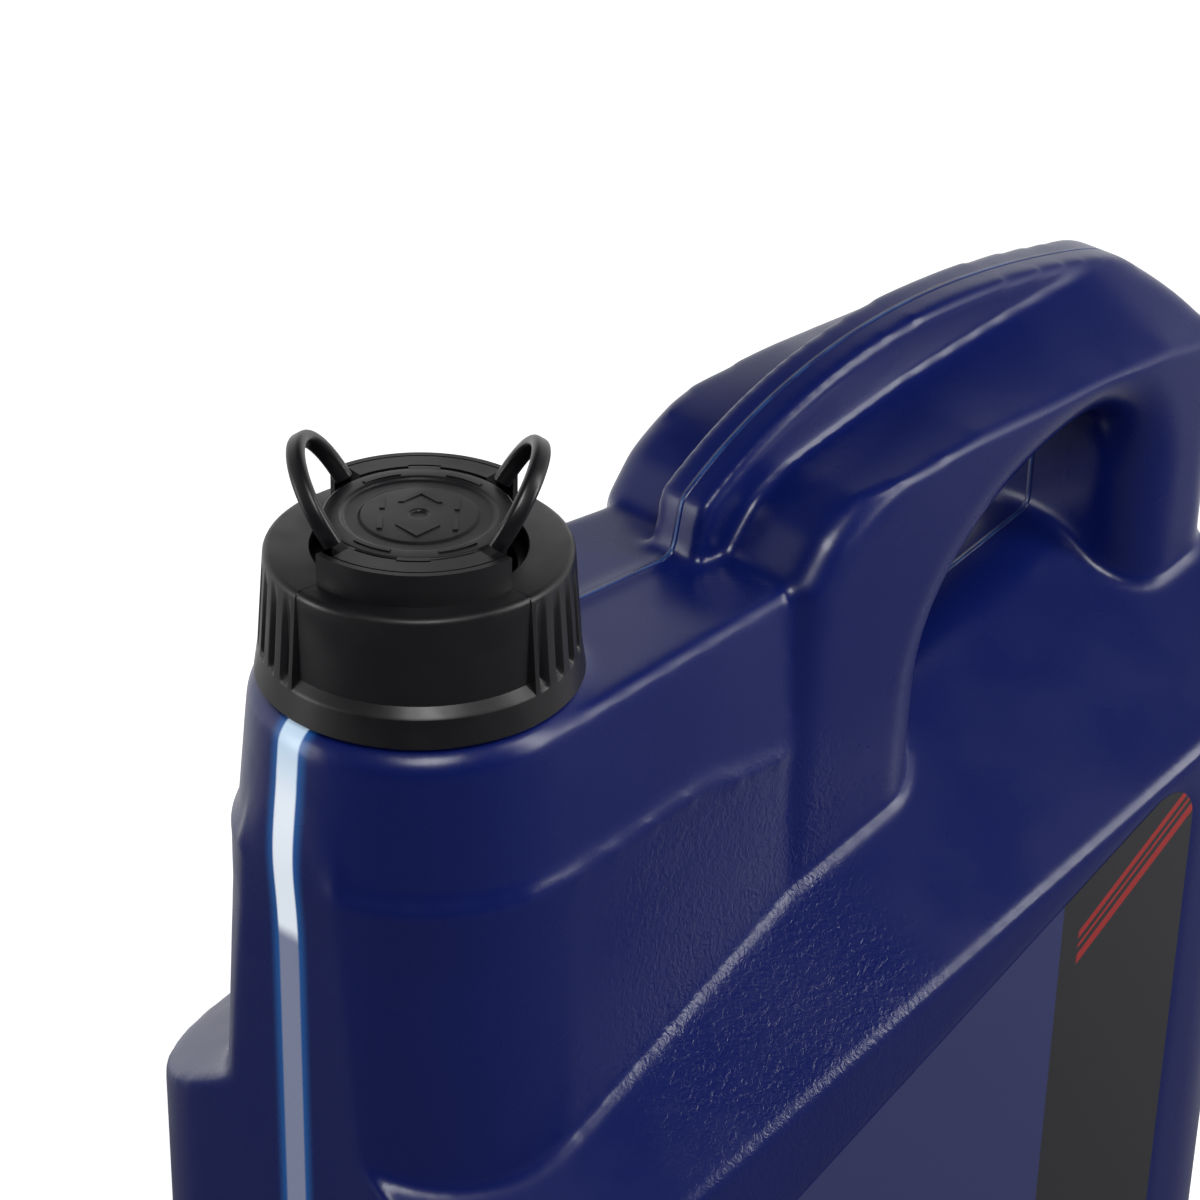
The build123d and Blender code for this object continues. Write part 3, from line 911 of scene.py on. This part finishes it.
@dataclass
class Cap:
    """The spout cap: a dished disc with raised marks, between two hinge straps."""

    radius: float = 23.3
    core: float = 18.3
    slot: float = 0.8
    thick: float = 3.0
    strap_half: float = 39.5
    plug_radius: float = 15.4
    plug_wall: float = 1.4
    plug_depth: float = 5.0
    dish: float = 0.75
    plug_seat: float = 0.1
    tab_half: float = 9.5
    rib_inner: float = 15.6
    rib_outer: float = 16.5
    rib_half: float = 14.0
    mark_edge: float = 0.12

    def build(self) -> bpy.types.Object:
        """Make the cap.

        Returns:
            The cap.
        """
        bm = bmesh.new()
        foot = CAP_TOP - self.thick
        disc = rounded([
            (0.0, CAP_TOP - self.dish), (1.5, CAP_TOP - self.dish), (1.9, CAP_TOP - 0.25),
            (11.0, CAP_TOP - 0.45), (11.6, CAP_TOP - self.dish), (14.2, CAP_TOP - self.dish),
            (14.9, CAP_TOP), (self.core, CAP_TOP), (self.core, foot), (0.0, foot),
        ], 0.4)
        lathe(bm, disc)
        lathe(bm, [
            (self.plug_radius, foot + self.plug_seat),
            (self.plug_radius, foot - self.plug_depth),
            (self.plug_radius - self.plug_wall, foot - self.plug_depth),
            (self.plug_radius - self.plug_wall, foot + self.plug_seat),
        ])
        inner = self.core + self.slot
        for middle in (90, 270):
            prism(bm, sector(inner, self.radius, middle, self.strap_half), foot, CAP_TOP, 0.35)
            tab = sector(self.core - 0.5, inner + 0.5, middle, self.tab_half)
            prism(bm, tab, foot, CAP_TOP, 0.1)
        for middle in (60, 120, 240, 300):
            rib = sector(self.rib_inner, self.rib_outer, middle, self.rib_half)
            prism(bm, rib, CAP_TOP - 0.3, CAP_TOP + 0.25, 0.15, 2)
        for turn in (0, 180):
            self.add_mark(bm, turn)
        cap = finished("spout_cap_disc", bm, closure_matrix(), smooth=35)
        cap.data.materials.append(plain_plastic("black_cap", BLACK_PP))
        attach(cap, "cap")
        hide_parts("spout_cap")
        return cap

    def add_mark(self, bm: bmesh.types.BMesh, turn: float) -> None:
        """Raise a plain chevron and two bars on the disc.

        Args:
            bm: Mesh that takes them.
            turn: Angle of the mark, in degrees.
        """
        a = radians(turn)
        low = CAP_TOP - 0.6
        high = CAP_TOP - self.mark_edge

        def placed(points: Profile) -> Profile:
            return [(x * cos(a) - y * sin(a), x * sin(a) + y * cos(a)) for x, y in points]

        for flip in (1, -1):
            chevron = [(0.0, 9.0), (0.0, 7.9), (3.2 * flip, 4.6), (4.2 * flip, 4.6)]
            if flip < 0:
                chevron.reverse()
            prism(bm, placed(chevron), low, high, self.mark_edge, 2)
        for x in (-7.6, 6.6):
            bar = [(x, 1.8), (x + 1.0, 1.8), (x + 1.0, 6.2), (x, 6.2)]
            prism(bm, placed(bar), low, high, self.mark_edge, 2)


@dataclass
class PullRing:
    """One pull ring: a strap bent to a loop on two feet.

    Attributes:
        side: -1 for the left ring and 1 for the right.
    """

    side: int
    offset: float = 15.5
    half_span: float = 13.3
    height: float = 16.0
    lean: float = 30.0
    width: float = 3.6
    thick: float = 2.6
    hinge_above_cap: float = 0.6
    foot: float = 0.6
    steps: int = 48

    def build(self) -> bpy.types.Object:
        """Make the ring in its raised pose.

        Returns:
            The ring.
        """
        lean = radians(self.lean)
        up = Vector((self.side * sin(lean), 0, cos(lean)))
        across = Vector((cos(lean), 0, -self.side * sin(lean)))
        hinge = Vector((self.side * self.offset, 0, CAP_TOP + self.hinge_above_cap))
        rise = self.height - self.half_span - self.thick / 2
        path = [hinge + Vector((0, -self.half_span, 0)) - up * self.foot]
        for i in range(self.steps + 1):
            turn = pi - pi * i / self.steps
            out = Vector((0, self.half_span * cos(turn), 0))
            path.append(hinge + out + up * (rise + self.half_span * sin(turn)))
        path.append(hinge + Vector((0, self.half_span, 0)) - up * self.foot)
        bm = bmesh.new()
        sweep(bm, path, across, self.width, self.thick)
        name = "left" if self.side < 0 else "right"
        ring = finished(f"pull_ring_{name}_strap", bm, closure_matrix(), smooth=50)
        ring.data.materials.append(plain_plastic(f"black_ring_{name}", BLACK_RING))
        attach(ring, f"ring_{name}")
        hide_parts(f"pull_ring_{name}")
        return ring


@dataclass
class Spout:
    """The folded pull-out spout inside the neck."""

    flange: float = 26.6
    outer: float = 19.6
    inner: float = 16.6
    wall: float = 0.9
    fold_below_rim: float = 18.0
    gasket: float = 0.9
    flange_thick: float = 1.4
    mouth_below_cap: float = 3.3

    def build(self) -> bpy.types.Object:
        """Make the spout; its mouth follows the cap.

        Returns:
            The spout.
        """
        rim = SEAT + NECK_HEIGHT + self.gasket
        fold = SEAT + NECK_HEIGHT - self.fold_below_rim
        mouth = CAP_TOP - self.mouth_below_cap
        flange_top = rim + self.flange_thick
        bm = bmesh.new()
        lathe(bm, [
            (self.flange, rim), (self.flange, flange_top), (self.outer - self.wall, flange_top),
            (self.outer - self.wall, fold + self.wall), (self.inner, fold + self.wall),
            (self.inner, mouth), (self.inner - self.wall, mouth), (self.inner - self.wall, fold),
            (self.outer, fold), (self.outer, rim),
        ], looped=True)
        spout = finished("folded_spout", bm, closure_matrix())
        spout.data.materials.append(plain_plastic("black_spout", BLACK_PP))
        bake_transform(spout)
        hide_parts("pull_out_spout")
        return spout


def dress_hidden_nodes(frame: dict) -> None:
    """Give the gasket and the oil their materials.
    """
    foam = Nodes("gasket_foam")
    cells = foam.bump(foam.noise(0.6, 2.0), 0.05)
    gasket = frame["nodes"]["sealing_gasket"]
    gasket.data.materials.clear()
    gasket.data.materials.append(
        foam.finish(Base_Color=(0.72, 0.72, 0.68, 1.0), Roughness=0.8, Normal=cells)
    )
    oil = Nodes("amber_oil")
    tone = oil.mix(oil.noise(60.0, 1.0), (0.30, 0.16, 0.02), (0.36, 0.20, 0.03))
    fill = frame["nodes"]["oil_fill"]
    fill.data.materials.clear()
    fill.data.materials.append(oil.finish(Base_Color=tone, Roughness=0.08))


# ---- The studio ----------------------------------------------------------------------------
@dataclass
class Studio:
    """White floor and backdrop, softboxes and the camera.

    Attributes:
        lens: Focal length in millimetres.
        pitch: How far the camera looks down, in degrees; roll and heading likewise.
        place: Where the camera stands.
        rear_low: Along X plus Y of a direction, where the backdrop starts; rear_high is where
            it is full.
        rear_level: Strength of the backdrop's light, over room_level all round.
        floor_low: Along X plus Y, where the floor starts to show in gloss; floor_high is
            where it is full.
    """

    lens: float = 105.0
    pitch: float = 29.32
    roll: float = -1.21
    heading: float = 45.0
    place: tuple[float, float, float] = (-0.4774, -0.4355, 0.5825)
    rear_low: float = -0.6
    rear_high: float = 0.2
    rear_level: float = 0.70
    room_level: float = 0.05
    floor_low: float = -0.1
    floor_high: float = 0.9
    floor_half: float = 6.0
    floor_drop: float = 0.0005

    def build(self) -> None:
        """Make the whole studio."""
        self.build_camera()
        self.build_floor()
        self.build_world()
        target = Vector((-0.02, 0.0, 0.22))
        self.softbox(Lamp.KEY, Vector((-0.50, -0.60, 1.00)), target, (0.40, 0.40), 5.5)
        self.softbox(Lamp.RIGHT, Vector((0.60, -0.88, 0.70)), target, (0.24, 1.00), 6.5)
        self.softbox(Lamp.LEFT, Vector((-0.95, 0.55, 0.30)), target, (0.35, 0.70), 3.5)

    def build_camera(self) -> None:
        """Place the camera at the viewing angle."""
        pitch, roll, heading = radians(self.pitch), radians(self.roll), radians(self.heading)
        ahead = Vector((cos(heading) * cos(pitch), sin(heading) * cos(pitch), -sin(pitch)))
        level = Vector((sin(heading), -cos(heading), 0))
        upright = level.cross(ahead)
        right = level * cos(roll) - upright * sin(roll)
        up = level * sin(roll) + upright * cos(roll)
        data = bpy.data.cameras.new("camera")
        data.lens = self.lens
        data.sensor_width = 36.0
        camera = bpy.data.objects.new("camera", data)
        rotation = Matrix((right, up, -ahead)).transposed().to_4x4()
        camera.matrix_world = Matrix.Translation(self.place) @ rotation
        bpy.context.scene.collection.objects.link(camera)
        bpy.context.scene.camera = camera

    def build_floor(self) -> None:
        """Make the pale floor."""
        bm = bmesh.new()
        half = self.floor_half
        corners = [bm.verts.new((x * half, y * half, -self.floor_drop)) for x, y in
                   ((-1, -1), (1, -1), (1, 1), (-1, 1))]
        bm.faces.new(corners)
        floor = finished("floor", bm, Matrix.Identity(4))
        n = Nodes("white_floor")
        rays = n.tree.nodes.new("ShaderNodeLightPath").outputs
        where = n.add("ShaderNodeTexCoord").outputs["Object"]
        split = n.add("ShaderNodeSeparateXYZ")
        n.tree.links.new(where, split.inputs[0])
        across = n.math("ADD", split.outputs[0], split.outputs[1])
        behind = n.ramp(across, self.floor_low, self.floor_high, 0.0, 1.0)
        mirrored = n.math("ADD", rays["Is Glossy Ray"], rays["Is Transmission Ray"])
        seen = n.math("MULTIPLY_ADD", mirrored, behind, rays["Is Camera Ray"])
        tone = n.mix(seen, (0.16, 0.16, 0.17), (0.85, 0.85, 0.85))
        glow = n.math("MULTIPLY", seen, 0.80)
        floor.data.materials.append(n.finish(
            Base_Color=tone, Roughness=0.9,
            Emission_Color=(1.0, 1.0, 1.0, 1.0), Emission_Strength=glow,
        ))

    def build_world(self) -> None:
        """Make a soft grey room that the camera sees as white."""
        world = bpy.data.worlds.new("studio")
        bpy.context.scene.world = world
        world.use_nodes = True
        tree = world.node_tree
        n = Rig(tree)
        toward = n.add("ShaderNodeTexCoord").outputs["Generated"]
        split = n.add("ShaderNodeSeparateXYZ")
        tree.links.new(toward, split.inputs[0])
        x, y, z = split.outputs
        behind = n.ramp(n.math("ADD", x, y), self.rear_low, self.rear_high, 0.0, 1.0)
        low = n.ramp(z, 0.15, 0.80, 1.0, 0.0)
        backdrop = n.math("MULTIPLY", behind, low)
        level = n.math("MULTIPLY_ADD", backdrop, self.rear_level, self.room_level)
        room = tree.nodes["Background"]
        room.inputs["Color"].default_value = (0.93, 0.95, 1.0, 1.0)
        tree.links.new(level, room.inputs["Strength"])
        white = n.add("ShaderNodeBackground")
        white.inputs["Color"].default_value = (1.0, 1.0, 1.0, 1.0)
        rays = n.add("ShaderNodeLightPath").outputs
        mirrored = n.math("ADD", rays["Is Glossy Ray"], rays["Is Transmission Ray"])
        seen = n.math("MULTIPLY_ADD", mirrored, backdrop, rays["Is Camera Ray"])
        blend = n.add("ShaderNodeMixShader")
        tree.links.new(seen, blend.inputs[0])
        tree.links.new(room.outputs[0], blend.inputs[1])
        tree.links.new(white.outputs[0], blend.inputs[2])
        tree.links.new(blend.outputs[0], tree.nodes["World Output"].inputs[0])

    def softbox(
        self, lamp: Lamp, place: Vector, target: Vector, size: tuple[float, float], power: float
    ) -> None:
        """Hang one softbox that faces the object.

        Args:
            lamp: Which one.
            place: Its centre.
            target: Where it points.
            size: Width and height.
            power: Watts.
        """
        data = bpy.data.lights.new(f"softbox_{lamp.value}", "AREA")
        data.shape = "RECTANGLE"
        data.size, data.size_y = size
        data.energy = power
        light = bpy.data.objects.new(data.name, data)
        light.location = place
        light.visible_camera = False
        light.rotation_euler = (target - place).to_track_quat("-Z", "Y").to_euler()
        bpy.context.scene.collection.objects.link(light)


def main() -> None:
    """Build the whole scene."""
    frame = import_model()
    canister = Canister()
    canister.build_shell(frame)
    canister.build_neck()
    Labels().build(frame)
    Collar().build()
    Cap().build()
    PullRing(-1).build()
    PullRing(1).build()
    Spout().build()
    dress_hidden_nodes(frame)
    Studio().build()
    bpy.context.scene.view_settings.view_transform = "Standard"


if __name__ == "__main__":
    main()
